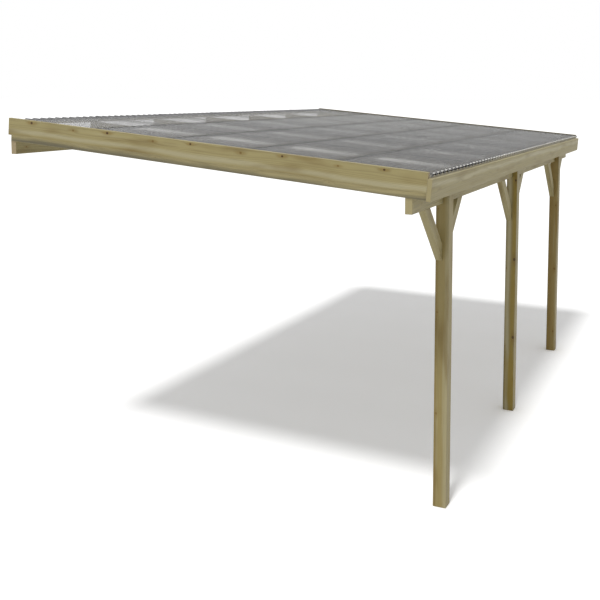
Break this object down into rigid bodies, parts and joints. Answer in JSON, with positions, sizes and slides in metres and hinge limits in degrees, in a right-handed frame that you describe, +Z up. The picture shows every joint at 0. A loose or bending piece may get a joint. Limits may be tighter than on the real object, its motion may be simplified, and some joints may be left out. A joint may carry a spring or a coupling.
{
  "type": "lean-to carport",
  "caption": "Lean-to timber carport for a house wall: braced posts and an eaves beam carry sloping rafters, purlins and corrugated see-through sheets.",
  "frame": {"origin": "middle of the wall ledger's back face, which is bolted to the wall; the ground is below it, at the posts' feet", "axes": "+X from the wall out to the posts, +Y along the wall from the front to the rear, +Z up"},
  "size_m": [3.1472, 5.09, 2.5067],
  "materials": {
    "timber": "pressure-treated pine, planed, green-brown with knots and grain",
    "roof_sheet": "see-through grey corrugated PVC sheet"
  },
  "bodies": {
    "root": {"front_post": "timber", "middle_post": "timber", "rear_post": "timber", "front_post_front_brace": "timber", "front_post_rear_brace": "timber", "middle_post_front_brace": "timber", "middle_post_rear_brace": "timber", "rear_post_front_brace": "timber", "rear_post_rear_brace": "timber", "eaves_beam": "timber", "wall_ledger": "timber", "rafter_1": "timber", "rafter_2": "timber", "rafter_3": "timber", "rafter_4": "timber", "rafter_5": "timber", "rafter_6": "timber", "rafter_7": "timber", "purlin_1": "timber", "purlin_2": "timber", "purlin_3": "timber", "purlin_4": "timber", "purlin_5": "timber", "purlin_6": "timber", "front_verge_board": "timber", "rear_verge_board": "timber", "eaves_fascia": "timber", "roof_sheet_1": "roof_sheet", "roof_sheet_2": "roof_sheet", "roof_sheet_3": "roof_sheet", "roof_sheet_4": "roof_sheet", "roof_sheet_5": "roof_sheet", "roof_sheet_6": "roof_sheet"}
  },
  "joints": []
}
